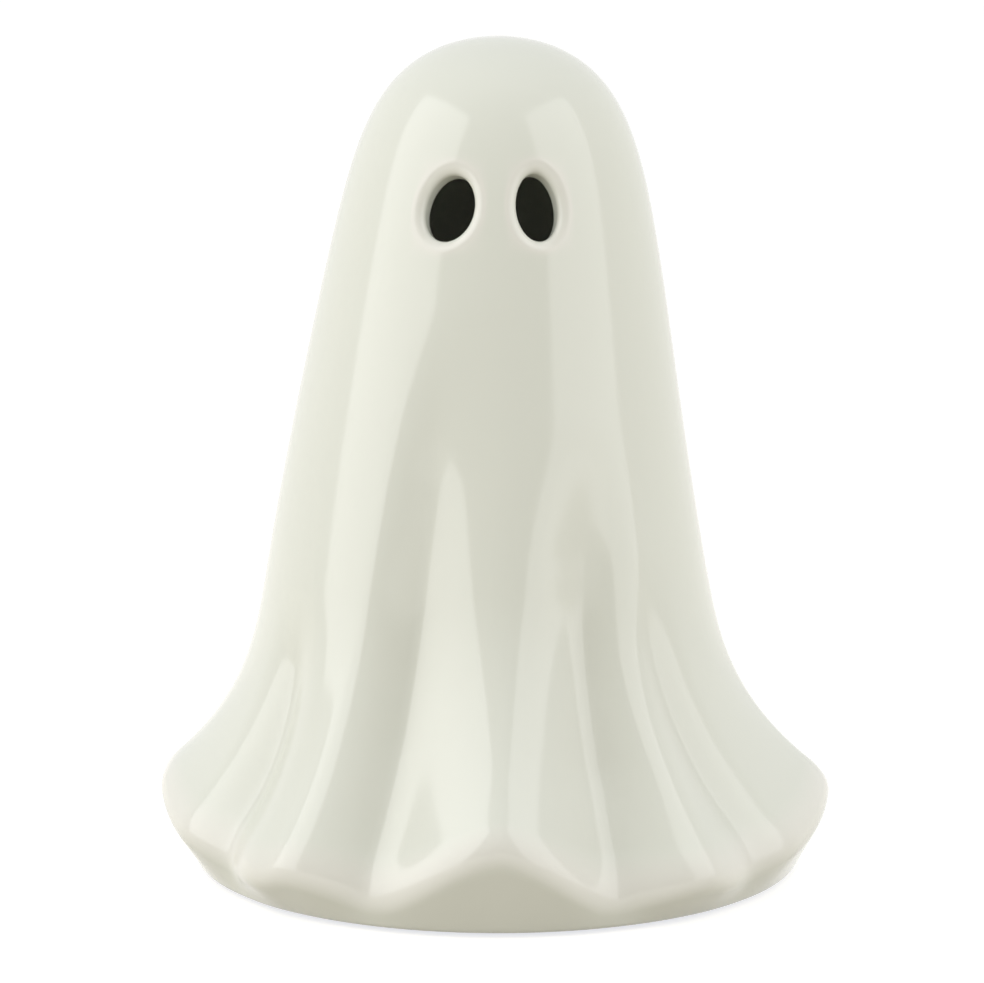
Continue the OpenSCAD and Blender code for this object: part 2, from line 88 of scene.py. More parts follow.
def addBlend(tree, amount, *colours):
    # from the first colour to the second, each a hex code or a socket
    first, second = (linearColour(c) if isinstance(c, str) else c for c in colours)
    return addNode(tree, "Mix", {"data_type": "RGBA"}, {0: amount, 6: first, 7: second}).outputs[2]


def addBump(tree, height, depth, **more):
    # relief this many millimetres deep
    return addNode(tree, "Bump", inputs={
        "Height": height, "Distance": depth * millimetre, **more}).outputs[0]


def newMaterial(name):
    # an empty material, its node tree and its object coordinates in metres
    material = bpy.data.materials.new(name)
    material.use_nodes = True
    tree = material.node_tree
    tree.nodes.clear()
    place = addNode(tree, "TexCoord").outputs["Object"]
    return material, tree, place


def finishMaterial(material, shader):
    tree = material.node_tree
    output = addNode(tree, "OutputMaterial")
    tree.links.new(shader.outputs[0], output.inputs["Surface"])
    return material


# The ghost's drape
ghost = {
    "height": 159.2,        # from the foot to the crown
    "standsAt": 0.8,        # the foot's height over the table, on its pads
    "crownRadius": 24.4,
    "domeHeight": 9.5,      # how tall the rounding of the crown is
    "slope": 0.178,         # how much wider it gets for each millimetre down
    "depthShare": 0.92,     # front to back, against the width
    "lean": 2.2,            # how far the middle leans to the viewer's left
    "leanBend": 0.75,       # under 1 sets the lean's widest place below half the height
    "hemHeight": 18,
    "flareHeight": 60,
    "flare": 16.9,
    "flareBend": 3.25,      # how late the sides flare
    "frontBend": 1.25,      # how much earlier the front does
    "foldDepth": 9.4,
    "hemDrop": 11.5,        # how far the deepest fold pulls the hem down
    "hemRound": 4.5,        # softness of the hem's edge
    "hemRoundShare": 0.6,   # the most that it takes of the turned-in band below the hem
    "footRadius": 58.2,
    "footRound": 1,
    "recessRadius": 42,
    "recessHeight": 2.4,
    "plugRadius": 19.3,     # hole in the base for the light unit
    "floorHeight": 7,
    "floorRadius": 43,
    "wall": 4.6,
    "hemWall": 3.2,         # extra wall near the hem
    "innerDrop": 8,         # how far the folds pull the hollow down
    "poolAndShadeUnder": 0.25,      # glaze that gathers under the hem, with painted shade on that band
    "poolAndShadeOnHem": 0.5,       # and in the folds on the hem, with painted shade there too
}

# Each fold: angle at the hem and at its top, where it starts as a share of the height,
# depth share, reach to the left and right in degrees, hem drop share, steepness
folds = [
    (-23, -13.5, 0.70, 0.60, 16, 24, 1.00, 1.3),
    (21.5, 28, 0.57, 0.64, 21, 18, 1.00, 1.3),
    (-56, -54, 0.37, 0.50, 13, 13, 0.0, 1.3),
    (-45, -45, 0.25, 0.0, 39, 18, 0.88, 1.0),
    (50, 43, 0.42, 0.34, 13, 13, 0.0, 1.4),
    (43, 43, 0.25, 0.0, 18, 40, 0.88, 1.0),
    (84, 84, 0.25, 0.0, 30, 30, 0.12, 1.2),
    (100, 98, 0.34, 0.55, 17, 24, 0.48, 1.6),
    (150, 150, 0.56, 0.86, 24, 20, 0.72, 1.4),
    (-84, -84, 0.25, 0.0, 30, 30, 0.14, 1.2),
    (-106, -106, 0.38, 0.57, 20, 15, 0.48, 1.6),
    (-133, -136, 0.525, 0.71, 16, 22, 0.56, 1.4),
    (-170, -166, 0.625, 0.86, 20, 26, 0.80, 1.4),
]
foldShape = {
    "floorSoftness": 0.2,   # roundness of a fold's floor
    "crestSoftness": 0.28,  # and of the crest between two folds
    "hemSoftness": 0.5,     # and of the hem's dip under it
    "bend": 1.5,            # how late it swings from its top angle to its hem angle
    "open": 3,              # how fast it opens below its top
    "full": 0.8,            # share of its height at which it reaches its full depth
    "hemSpread": 0.92,      # under 1 makes the hem's dip wider than the fold
    "hemCurl": 6,           # how close to the hem the dip stays
}

# Each eye hole: angle from the face, height over the table, width, height, lean of its top
eyes = [
    {"angle": -17.8, "height": 130.4, "width": 9.3, "tall": 12.0, "tilt": 10},
    {"angle": 16.0, "height": 130.6, "width": 7.9, "tall": 12.2, "tilt": -5},
]
eyeRim = {
    "width": 2.3,
    "depth": 1.7,
    "drop": 1.6,            # how much lower the hole comes out inside
    "innerRound": 0.8,
    "thinning": 0.5,        # how much of the thin glaze is gone at a turn of one radian
}
# Window in the mesh that each eye's finer loops fill: degrees from the middle of the face and
# past the eye, and millimetres over and under the eye
eyeWindow = {"inner": 1.5, "outer": 15, "tall": 10.5}

# Softened edges of the base, as steps to the side of the edge and up or down from the face
# beside it
plugEdge = [(0.6, 0), (0.2, 0.1), (0, 0.4)]
recessEdge = [(1, 0), (0.3, 0.2), (0, 0.8)]
recessLip = [(0, 0.5), (0.15, 0.15), (0.5, 0)]
baseMiddle = 30             # radius of the circle halfway over the base's flat faces
footBands = (0.33, 0.66)    # shares of the foot's flat ring

# How finely the ghost's mesh is divided
divisions = {
    "columns": 480,
    "bodyRows": 250,
    "bias": 1.6,            # rows lie closer together towards the crown
    "innerRows": 40,        # inside, from the hem up to the eyes' windows
    "innerTopRows": 19,     # and from there to the crown
    "footEdge": 6,
    "underHem": 14,
    "hem": 14,
    "outerPatch": 16,       # loops from a window to its eye
    "innerPatch": 8,
    "rim": 12,
    "cut": 7,
    "innerRim": 5,
    "floorCorner": 6,
}
columnStep = 360 / divisions["columns"]
columnAngles = np.arange(divisions["columns"]) * 360 / divisions["columns"]


def between(first, last, share):
    return first + (last - first) * share


def softened(x, softness):
    # the size of x with its kink at 0 rounded off, still 0 at 0 and 1 at 1
    return (np.hypot(x, softness) - softness) / (math.hypot(1, softness) - softness)


def foldDip(x, steepness, softness=foldShape["floorSoftness"]):
    # 1 on a fold's floor, falling to 0 where its wall ends
    reach = softened(x, softness)
    return softened(np.clip(1 - reach, 0, 1), foldShape["crestSoftness"]) ** steepness


def drape(angle, level, top, inset, drop):
    # radius, height and fold depth of the cloth; level runs from 0 at the hem to 1 at the crown
    h, bottom = ghost["height"], ghost["hemHeight"]
    z = bottom + (top - bottom) * level + 0 * angle
    depth, pull = 0 * z, 0 * z
    for hemAngle, topAngle, start, share, left, right, dropShare, steepness in folds:
        grow = np.clip((start * h - z) / (start * h - bottom), 0, 1)
        turn = angle - topAngle - (hemAngle - topAngle) * grow ** foldShape["bend"]
        turn = (turn + 180) % 360 - 180
        x = np.where(turn < 0, turn / left, turn / right)
        full = np.minimum(1, grow / foldShape["full"])
        opened = np.sqrt(np.minimum(1, foldShape["open"] * grow))
        depth = depth + share * full * opened * foldDip(x, steepness)
        pull = pull + dropShare * foldDip(foldShape["hemSpread"] * x, steepness,
                                          foldShape["hemSoftness"])
    bend = ghost["flareBend"] - ghost["frontBend"] * np.maximum(0, np.cos(np.radians(angle))) ** 2
    flare = ghost["flare"] * (np.maximum(0, ghost["flareHeight"] - z)
                              / (ghost["flareHeight"] - bottom)) ** bend
    body = (ghost["crownRadius"] + ghost["slope"] * (h - z) + flare
            - ghost["foldDepth"] * depth - inset)
    dome = np.sqrt(np.maximum(0, 1 - np.exp((z - top) / ghost["domeHeight"])))
    return body * dome, z - drop * pull * (1 - level) ** foldShape["hemCurl"], depth


def inSpace(angle, radius, z):
    # points in metres over the table, from angles, radii and heights over the foot
    a = np.radians(angle)
    share = np.clip(z, 0, ghost["height"]) / ghost["height"]
    sway = ghost["lean"] * np.sin(math.pi * share ** ghost["leanBend"]) ** 2
    x = radius * np.sin(a) - sway
    y = -radius * np.cos(a) * ghost["depthShare"]
    return np.stack([x, y, z + ghost["standsAt"] + 0 * x], -1) * millimetre


def onOuter(angle, z):
    bottom, top = ghost["hemHeight"], ghost["height"]
    level = (z - bottom) / (top - bottom)
    return inSpace(angle, *drape(angle, level, top, 0, ghost["hemDrop"])[:2])


def onInner(angle, z):
    bottom, top = ghost["hemHeight"], ghost["height"] - ghost["wall"]
    level = (z - bottom) / (top - bottom)
    inset = ghost["wall"] + ghost["hemWall"] * (1 - level) ** 2
    return inSpace(angle, *drape(angle, level, top, inset, ghost["innerDrop"])[:2])


def onFlat(radius, z):
    # a round circle of the base, which doesn't follow the ghost's oval
    ring = np.radians(columnAngles)
    height = np.full(len(ring), z + ghost["standsAt"])
    return np.column_stack([np.sin(ring) * radius, -np.cos(ring) * radius, height]) * millimetre


points, faces, glazePoolAndShade, thinned = [], [], [], []


def addLoop(loop, poolAndShade=0.0, thin=0.0):
    # adds points, with how much glaze pools (with painted shade) or thins on each, and returns
    # their numbers
    first = len(points)
    points.extend(loop.tolist())
    glazePoolAndShade.extend(np.broadcast_to(poolAndShade, len(loop)).tolist())
    thinned.extend(np.broadcast_to(thin, len(loop)).tolist())
    return list(range(first, first + len(loop)))


def joinLoops(a, b, skip=()):
    n = len(a)
    for i in range(n):
        if i not in skip:
            faces.append((a[i], a[(i + 1) % n], b[(i + 1) % n], b[i]))


def addBand(last, loop, poolAndShade=0.0, thin=0.0):
    # adds a loop, joins it to the last one and returns its numbers
    numbers = addLoop(loop, poolAndShade, thin)
    joinLoops(last, numbers)
    return numbers


def addPeak(z):
    # one point on the axis, for closing a loop
    return addLoop(inSpace(np.zeros(1), np.zeros(1), np.array([z])))[0]


def closeLoop(loop, peak):
    n = len(loop)
    for i in range(n):
        faces.append((loop[i], loop[(i + 1) % n], peak))


def curve(start, pull, end, steps):
    # radius and height pairs from start to end, pulled towards a corner
    for t in np.linspace(0, 1, steps + 1):
        yield ((1 - t) ** 2 * start[0] + 2 * t * (1 - t) * pull[0] + t * t * end[0],
               (1 - t) ** 2 * start[1] + 2 * t * (1 - t) * pull[1] + t * t * end[1])


def makeOuterSkin():
    # rows from the edge of the flat foot round the hem and up the body, and the height over
    # the foot of each row of the body
    angle, bottom, top = columnAngles, ghost["hemHeight"], ghost["height"]
    footRadius, footRound = ghost["footRadius"], ghost["footRound"]
    hemR, hemZ, hemDepth = drape(angle, 0.0, top, 0, ghost["hemDrop"])
    length = np.hypot(hemR - footRadius, hemZ)
    outward, upward = (hemR - footRadius) / length, hemZ / length
    under = np.minimum(ghost["hemRound"], ghost["hemRoundShare"] * length)
    start = ghost["hemRound"] / (top - bottom)
    startR, startZ = drape(angle, start, top, 0, ghost["hemDrop"])[:2]

    footEdge = (footRadius + footRound * outward, footRound * upward)
    turnIn = (hemR - under * outward, hemZ - under * upward)
    rows = []
    for r, z in curve((footRadius - footRound, 0), (footRadius, 0.0), footEdge,
                      divisions["footEdge"]):
        rows.append(addLoop(inSpace(angle, r + 0 * angle, z + 0 * angle)))
    # the band under the hem: painted shade, with some pooled glaze, at a fixed share
    for s in np.linspace(0, 1, divisions["underHem"] + 1)[1:-1]:
        r, z = between(footEdge[0], turnIn[0], s), between(footEdge[1], turnIn[1], s)
        rows.append(addLoop(inSpace(angle, r, z), ghost["poolAndShadeUnder"]))
    # the hem's rounding: pooled glaze and painted shade by fold depth, thin glaze towards its edge
    hemCurve = curve(turnIn, (hemR, hemZ), (startR, startZ), divisions["hem"])
    for k, (r, z) in enumerate(hemCurve):
        rows.append(addLoop(inSpace(angle, r, z), hemDepth * ghost["poolAndShadeOnHem"],
                            math.sin(math.pi * k / divisions["hem"])))
    heights = {}
    for k in range(1, divisions["bodyRows"] + 1):
        left = 1 - k / (divisions["bodyRows"] + 1)
        level = 1 - (1 - start) * left ** divisions["bias"]
        r, z, depth = drape(angle, level, top, 0, ghost["hemDrop"])
        # the body: folds greyed by their depth, partly pooled glaze and partly painted shade
        rows.append(addLoop(inSpace(angle, r, z), np.clip(depth, 0, 1)))
        heights[len(rows) - 1] = bottom + (top - bottom) * level
    return rows, heights


def findWindows(heights):
    # left and right column and low and high row of each eye's window
    windows = []
    for eye in eyes:
        z = eye["height"] - ghost["standsAt"]
        side = 1 if eye["angle"] > 0 else -1
        inner = round(side * eyeWindow["inner"] / columnStep)
        outer = round((eye["angle"] + side * eyeWindow["outer"]) / columnStep)
        low = min(heights, key=lambda k: abs(heights[k] - (z - eyeWindow["tall"])))
        high = min(heights, key=lambda k: abs(heights[k] - (z + eyeWindow["tall"])))
        windows.append((min(inner, outer), max(inner, outer), low, high))
    return windows


def makeInnerSkin(heights, lowest, highest, openCells):
    # coarser than the outer skin, except for the rows that the windows share with it
    bottom, top = ghost["hemHeight"], ghost["height"] - ghost["wall"]
    few, topFew = divisions["innerRows"], divisions["innerTopRows"]
    gap = top - heights[highest]
    levels = [bottom + (heights[lowest] - bottom) * k / few for k in range(few)]
    levels += [heights[j] for j in range(lowest, highest + 1)]
    levels += [top - gap * (1 - k / topFew) ** divisions["bias"] for k in range(1, topFew)]
    rows = [addLoop(onInner(columnAngles, z)) for z in levels]
    peak = addPeak(top)
    for k in range(len(rows) - 1):
        joinLoops(rows[k], rows[k + 1], openCells.get(lowest + k - few, ()) if k >= few else ())
    closeLoop(rows[-1], peak)
    return rows


def ovalPoint(eye, turn, grow):
    # across and up, in millimetres, of a point on the eye's outline made wider by grow
    across = (eye["width"] / 2 + grow) * np.cos(turn)
    up = (eye["tall"] / 2 + grow) * np.sin(turn)
    lean = math.radians(eye["tilt"])
    return (across * math.cos(lean) + up * math.sin(lean),
            up * math.cos(lean) - across * math.sin(lean))


def eyePatch(edge, edgeAngles, edgeHeights, eye, centre, skin, radius, grow, steps, thin):
    # loops from the window in the grid to the eye's outline, all of them on the skin
    across = radius * np.sin(np.radians(edgeAngles - eye["angle"]))
    up = edgeHeights - centre
    lean = math.radians(eye["tilt"])
    flatAcross = across * math.cos(lean) - up * math.sin(lean)
    flatUp = up * math.cos(lean) + across * math.sin(lean)
    turn = np.arctan2(flatUp / eye["tall"], flatAcross / eye["width"])
    toAcross, toUp = ovalPoint(eye, turn, grow)
    last = edge
    for s in np.linspace(0, 1, steps + 1)[1:]:
        u, w = between(across, toAcross, s), between(up, toUp, s)
        angle = eye["angle"] + np.degrees(np.arcsin(u / radius))
        last = addBand(last, skin(angle, centre + w), 0, thin * s ** 3)
    return last, turn


def cutEye(eye, window, outerRows, innerRows, heights):
    # one eye hole: a softened rim, the cut through the wall and the inner edge; both rows are
    # looked up by their number in the outer skin
    left, right, low, high = window
    around = [(i, low) for i in range(left, right)] + [(right, j) for j in range(low, high)]
    around += [(i, high) for i in range(right, left, -1)]
    around += [(left, j) for j in range(high, low, -1)]
    angles = np.array([i * columnStep for i, j in around])
    tall = np.array([heights[j] for i, j in around])
    n = divisions["columns"]
    outerEdge = [outerRows[j][i % n] for i, j in around]
    innerEdge = [innerRows[j][i % n] for i, j in around]

    bottom, top = ghost["hemHeight"], ghost["height"]
    middle = np.array([eye["angle"]])
    z = eye["height"] - ghost["standsAt"]
    innerZ = z - eyeRim["drop"]
    outerRadius = float(drape(middle, (z - bottom) / (top - bottom), top, 0, 0)[0][0])
    innerRadius = outerRadius - ghost["wall"]
    outerLoop, turn = eyePatch(outerEdge, angles, tall, eye, z, onOuter, outerRadius,
                               eyeRim["width"], divisions["outerPatch"], 1.0)
    innerLoop = eyePatch(innerEdge, angles, tall, eye, innerZ, onInner, innerRadius,
                         eyeRim["innerRound"], divisions["innerPatch"], 0.0)[0]

    # straight line of the cut, from the middle of the outline to the middle inside
    outside = onOuter(middle, np.array([z]))[0]
    inside = onInner(middle, np.array([innerZ]))[0]
    axis = (inside - outside) / np.linalg.norm(inside - outside)

    def rimLoop(skin, radius, centre, grow, sink):
        # the outline made wider on a skin, and sunk along the cut; less than 0 comes back out
        u, w = ovalPoint(eye, turn, grow)
        a = eye["angle"] + np.degrees(np.arcsin(u / radius))
        return skin(a, centre + w) + axis * sink * millimetre

    last = outerLoop
    for q in np.linspace(0, math.pi / 2, divisions["rim"] + 1)[1:]:
        grow, sink = eyeRim["width"] * (1 - math.sin(q)), eyeRim["depth"] * (1 - math.cos(q))
        last = addBand(last, rimLoop(onOuter, outerRadius, z, grow, sink),
                       0, 1 - eyeRim["thinning"] * q)
    cutStart = np.array([points[k] for k in last])
    cutEnd = rimLoop(onInner, innerRadius, innerZ, 0, -eyeRim["innerRound"])
    for s in np.linspace(0, 1, divisions["cut"] + 1)[1:]:
        last = addBand(last, between(cutStart, cutEnd, s))
    for q in np.linspace(math.pi / 2, 0, divisions["innerRim"] + 1)[1:-1]:
        grow, sink = (eyeRim["innerRound"] * (1 - way(q)) for way in (math.sin, math.cos))
        last = addBand(last, rimLoop(onInner, innerRadius, innerZ, grow, -sink))
    # the inner loop starts at the same column, and its points run in the same order
    joinLoops(last, innerLoop)


def makeBase(innerRow, footRow):
    # floor inside, hole for the light unit, hollow under the foot and the foot's flat ring
    floorZ, recessZ = ghost["floorHeight"], ghost["recessHeight"]
    plug, recess, floorRadius = ghost["plugRadius"], ghost["recessRadius"], ghost["floorRadius"]
    wallR, wallZ = drape(columnAngles, 0.0, ghost["height"] - ghost["wall"],
                         ghost["wall"] + ghost["hemWall"], ghost["innerDrop"])[:2]
    corner = (wallR * 0.5 + floorRadius * 0.5, floorZ)
    last = innerRow
    for r, z in list(curve((wallR, wallZ), corner, (floorRadius, floorZ),
                           divisions["floorCorner"]))[1:]:
        last = addBand(last, inSpace(columnAngles, r, z))

    profile = [(baseMiddle, floorZ)] + [(plug + out, floorZ - down) for out, down in plugEdge]
    profile += [(plug + out, recessZ + down) for out, down in reversed(plugEdge)]
    profile += [(baseMiddle, recessZ)]
    profile += [(recess - out, recessZ - down) for out, down in recessEdge]
    profile += [(recess + out, up) for out, up in recessLip]
    for r, z in profile:
        last = addBand(last, onFlat(r, z))
    innerFoot = onFlat(*profile[-1])
    outerFoot = np.array([points[k] for k in footRow])
    for s in footBands:
        last = addBand(last, between(innerFoot, outerFoot, s))
    joinLoops(last, footRow)


def makeShell():
    rows, heights = makeOuterSkin()
    outerPeak = addPeak(ghost["height"])
    windows = findWindows(heights)
    openCells = {}
    for left, right, low, high in windows:
        for j in range(low, high):
            openCells.setdefault(j, set()).update(
                i % divisions["columns"] for i in range(left, right))
    for j in range(len(rows) - 1):
        joinLoops(rows[j], rows[j + 1], openCells.get(j, ()))
    closeLoop(rows[-1], outerPeak)

    lowest, highest = min(w[2] for w in windows), max(w[3] for w in windows)
    innerRows = makeInnerSkin(heights, lowest, highest, openCells)
    shared = {lowest + k: row for k, row in enumerate(innerRows[divisions["innerRows"]:])}
    for eye, window in zip(eyes, windows):
        cutEye(eye, window, rows, shared, heights)
    makeBase(innerRows[0], rows[0])

    mesh = bpy.data.meshes.new("glazedGhost")
    mesh.from_pydata(points, [], faces)
    # the pooled glaze with its painted shade, and the thin glaze, as point attributes
    for name, values in (("glazePoolAndShade", glazePoolAndShade), ("thinned", thinned)):
        mesh.attributes.new(name, "FLOAT", "POINT").data.foreach_set("value", values)
    work = bmesh.new()
    work.from_mesh(mesh)
    bmesh.ops.recalc_face_normals(work, faces=work.faces)
    work.to_mesh(mesh)
    work.free()
    mesh.polygons.foreach_set("use_smooth", [True] * len(mesh.polygons))
    mesh.update()
    body = bpy.data.objects.new("glazedGhost", mesh)
    scene.collection.objects.link(body)
    return body


body = makeShell()
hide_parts("ghost_shell")
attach(body, "ghost")
print("ghost shell made:", len(body.data.polygons), "faces")


# Materials
glaze = {
    "colour": "#E2E4D9",
    "poolAndShadeColour": "#D6D6C9",  # where the glaze lies thick in the folds, and painted shade in the folds and under the hem
    "thinColour": "#E8E7DE",    # where it runs thin, on the hem and the eye rims
    "biscuitColour": "#E6DFD0",
    "spongeColour": "#D8CFBE",  # and where the sponge dragged it
    "roughness": 0.12,
    "cloudSize": 18,            # unevenness of the pooled glaze and painted shade tone
    "waveSize": 26.0,
    "waveDepth": 0.3,
    "peelSize": 3.0,
    "peelDepth": 0.02,
    "spongeSize": 0.8,
    "spongeDepth": 0.08,
    "dryUpTo": 0.82,            # heights over the table, as the foot stands at 0.8
    "wetFrom": 0.92,
}


def glazedEarthenware():
    # Slip-cast earthenware under a clear dipped glaze: an even milky white with a wet gloss
    # that ripples a little, a greyer tone in the folds and under the hem that is partly pooled
    # glaze and partly painted shade, and a dry wiped foot
    material, tree, place = newMaterial("glazedEarthenware")
    poolAndShade = addNode(tree, "Attribute", {"attribute_name": "glazePoolAndShade"}).outputs["Fac"]
    thin = addNode(tree, "Attribute", {"attribute_name": "thinned"}).outputs["Fac"]
    # painted shade: the folds and the band under the hem turn greyer, partly pooled glaze, in slow
    # clouds
    cloud = addNoise(tree, place, glaze["cloudSize"], 3.0)
    poolAndShadeTone = addBlend(tree, addMath(tree, "MULTIPLY", poolAndShade, cloud),
                     glaze["colour"], glaze["poolAndShadeColour"])
    colour = addBlend(tree, thin, poolAndShadeTone, glaze["thinColour"])
    # glaze surface: slow waves from the pour and a faint orange peel
    waves = addBump(tree, addNoise(tree, place, glaze["waveSize"], 1.0), glaze["waveDepth"],
                    Strength=0.5)
    peel = addBump(tree, addNoise(tree, place, glaze["peelSize"], 2.0), glaze["peelDepth"],
                   Strength=0.5, Normal=waves)
    gloss = addNode(tree, "BsdfPrincipled", inputs={
        "Base Color": colour, "Roughness": glaze["roughness"], "IOR": 1.58, "Normal": peel})
    # the foot is wiped dry before firing: matt biscuit with fine sponge marks
    sponge = addNoise(tree, place, glaze["spongeSize"], 4.0)
    biscuit = addNode(tree, "BsdfPrincipled", inputs={
        "Base Color": addBlend(tree, sponge, glaze["biscuitColour"], glaze["spongeColour"]),
        "Roughness": 0.85, "IOR": 1.5, "Normal": addBump(tree, sponge, glaze["spongeDepth"])})
    height = addNode(tree, "SeparateXYZ", inputs={0: place}).outputs["Z"]
    dry = addRange(tree, height, 1.0, 0.0, glaze["dryUpTo"] * millimetre,
                   glaze["wetFrom"] * millimetre)
    shader = addNode(tree, "MixShader", inputs={0: dry, 1: gloss.outputs[0], 2: biscuit.outputs[0]})
    return finishMaterial(material, shader)


body.data.materials.append(glazedEarthenware())


# Finishes of the light unit and the pads, with marks in millimetres
fittings = {
    "cloudSize": 12,            # how slowly the plastics change tone
    "grainSpread": 0.08,        # how far the mould's grain moves their roughness
    "markRange": (-0.08, 0.1),  # how far the marks move the metals' roughness
    "markDepth": 0.005,
    "foam": ("#2B2A28", "#45433F"),
    "foamCell": 0.35,
    "foamDepth": 0.12,
    "silicone": ("#D9D8D2", "#C6C4BB"),
    "dustSize": 1.2,
    "dustDepth": 0.02,
    "solderMask": ("#14502F", "#1D6B40"),
    "threadSize": 0.5,
    "weaveDepth": 0.01,
    "resin": ("#FFFDF2", "#FFF6DC"),
    "flowSize": 2,
    "flowDepth": 0.02,
}


def mouldedPlastic(name, colour, tone, roughness, grain, depth):
    # Injection-moulded plastic: even colour, and the fine spark-eroded grain of the mould
    material, tree, place = newMaterial(name)
    cells = addNoise(tree, place, grain, 2.0)
    cloud = addNoise(tree, place, fittings["cloudSize"], 2.0)
    spread = fittings["grainSpread"]
    shader = addNode(tree, "BsdfPrincipled", inputs={
        "Base Color": addBlend(tree, cloud, colour, tone),
        "Roughness": addRange(tree, cells, roughness - spread, roughness + spread),
        "IOR": 1.5, "Normal": addBump(tree, cells, depth)})
    return finishMaterial(material, shader)


def turnedMetal(name, colour, tone, roughness, mark, stretch):
    # Bare or plated metal: fine drawn or rolled marks that stretch the highlight
    material, tree, place = newMaterial(name)
    lines = addNode(tree, "Mapping", inputs={0: place, 3: stretch}).outputs[0]
    marks = addNoise(tree, lines, mark, 3.0)
    below, above = fittings["markRange"]
    shader = addNode(tree, "BsdfPrincipled", inputs={
        "Base Color": addBlend(tree, marks, colour, tone), "Metallic": 1.0,
        "Roughness": addRange(tree, marks, roughness + below, roughness + above),
        "Normal": addBump(tree, marks, fittings["markDepth"])})
    return finishMaterial(material, shader)


def foamRubber():
    # Closed-cell rubber, die cut: dark and dry, with open cells on its faces
    material, tree, place = newMaterial("dieCutFoamRubber")
    cells = addNode(tree, "TexVoronoi", inputs={
        "Vector": place, "Scale": perMetre(fittings["foamCell"])}).outputs["Distance"]
    shader = addNode(tree, "BsdfPrincipled", inputs={
        "Base Color": addBlend(tree, cells, *fittings["foam"]), "Roughness": 0.9,
        "IOR": 1.5, "Normal": addBump(tree, cells, fittings["foamDepth"])})
    return finishMaterial(material, shader)


def softSilicone():
    # Moulded silicone: milky and dull, with the dust that it picks up
    material, tree, place = newMaterial("mouldedSilicone")
    dust = addNoise(tree, place, fittings["dustSize"], 5.0)
    shader = addNode(tree, "BsdfPrincipled", inputs={
        "Base Color": addBlend(tree, dust, *fittings["silicone"]), "Roughness": 0.6,
        "IOR": 1.41, "Subsurface Weight": 0.3, "Subsurface Scale": 0.002,
        "Normal": addBump(tree, dust, fittings["dustDepth"])})
    return finishMaterial(material, shader)


def boardLaminate():
    # Glass-fibre laminate under green solder mask: the weave shows faintly through the gloss
    material, tree, place = newMaterial("solderMaskedLaminate")
    fullTurn = 6.2832   # the wave texture repeats after 2 pi of its scale
    threads = perMetre(fittings["threadSize"]) / fullTurn
    warp, weft = (addNode(tree, "TexWave", {"bands_direction": way}, {
        "Vector": place, "Scale": threads}).outputs["Fac"] for way in ("X", "Y"))
    weave = addMath(tree, "MULTIPLY", warp, weft)
    shader = addNode(tree, "BsdfPrincipled", inputs={
        "Base Color": addBlend(tree, weave, *fittings["solderMask"]), "Roughness": 0.3,
        "IOR": 1.55, "Normal": addBump(tree, weave, fittings["weaveDepth"])})
    return finishMaterial(material, shader)


def clearEpoxy():
    # Cast epoxy lamp body: water clear with a faint warm tint and flow lines
    material, tree, place = newMaterial("castClearEpoxy")
    flow = addNoise(tree, place, fittings["flowSize"], 1.0)
    shader = addNode(tree, "BsdfPrincipled", inputs={
        "Base Color": addBlend(tree, flow, *fittings["resin"]), "Roughness": 0.05, "IOR": 1.54,
        "Transmission Weight": 1.0, "Normal": addBump(tree, flow, fittings["flowDepth"])})
    return finishMaterial(material, shader)


# Plastics: name, colour, cloudier tone, roughness, size and depth of the grain
whitePlastic = mouldedPlastic("mouldedWhiteAbs", "#E9E9E4", "#E2E2DB", 0.35, 0.25, 0.01)
basePlastic = mouldedPlastic("grainedWhiteAbs", "#E6E6E0", "#DEDED6", 0.5, 0.3, 0.03)
nylon = mouldedPlastic("mouldedNylon", "#E4E1D6", "#DBD7CA", 0.45, 0.4, 0.01)
acetal = mouldedPlastic("mouldedBlackAcetal", "#1B1B1C", "#242425", 0.4, 0.3, 0.01)
# Metals: name, colour, second tone, roughness, size of the marks and how often they repeat
# along X, Y and Z
zincSteel = turnedMetal("zincPlatedSteel", "#C9CDD2", "#AEB3BA", 0.32, 0.3, (1, 1, 4))
canSteel = turnedMetal("drawnStainlessSteel", "#C8C7C3", "#B2B1AC", 0.26, 0.2, (8, 1, 1))
tinnedWire = turnedMetal("tinnedSteelWire", "#BDBDBB", "#9D9D9B", 0.35, 0.15, (1, 1, 0.1))
switchSteel = turnedMetal("nickelPlatedSheet", "#C4BFB4", "#A9A498", 0.3, 0.2, (1, 6, 1))
springBronze = turnedMetal("rolledSpringBronze", "#C9A05C", "#AD8243", 0.3, 0.2, (1, 6, 1))

finishes = {
    "foot_pad_1": foamRubber(),
    "unit_case": whitePlastic, "unit_base": basePlastic, "battery_door": basePlastic,
    "grip_ring": softSilicone(), "cell_holder": nylon,
    "case_screw_1": zincSteel, "case_screw_2": zincSteel,
    "circuit_board": boardLaminate(), "coin_cell": canSteel,
    "cell_contact_centre": springBronze, "cell_contact_side": springBronze,
    "led_lens": clearEpoxy(), "led_lead_1": tinnedWire, "led_lead_2": tinnedWire,
    "switch_housing": switchSteel, "switch_pin_1": tinnedWire, "switch_pin_2": tinnedWire,
    "switch_pin_3": tinnedWire, "switch_slider": acetal,
}
for name in nodes:
    if name.startswith("foot_pad"):
        finishes[name] = finishes["foot_pad_1"]
for name, material in finishes.items():
    node = nodes[name]
    if not node.material_slots:
        node.data.materials.append(material)
    for slot in node.material_slots:
        slot.material = material
print("materials set on", len(finishes), "CAD nodes")


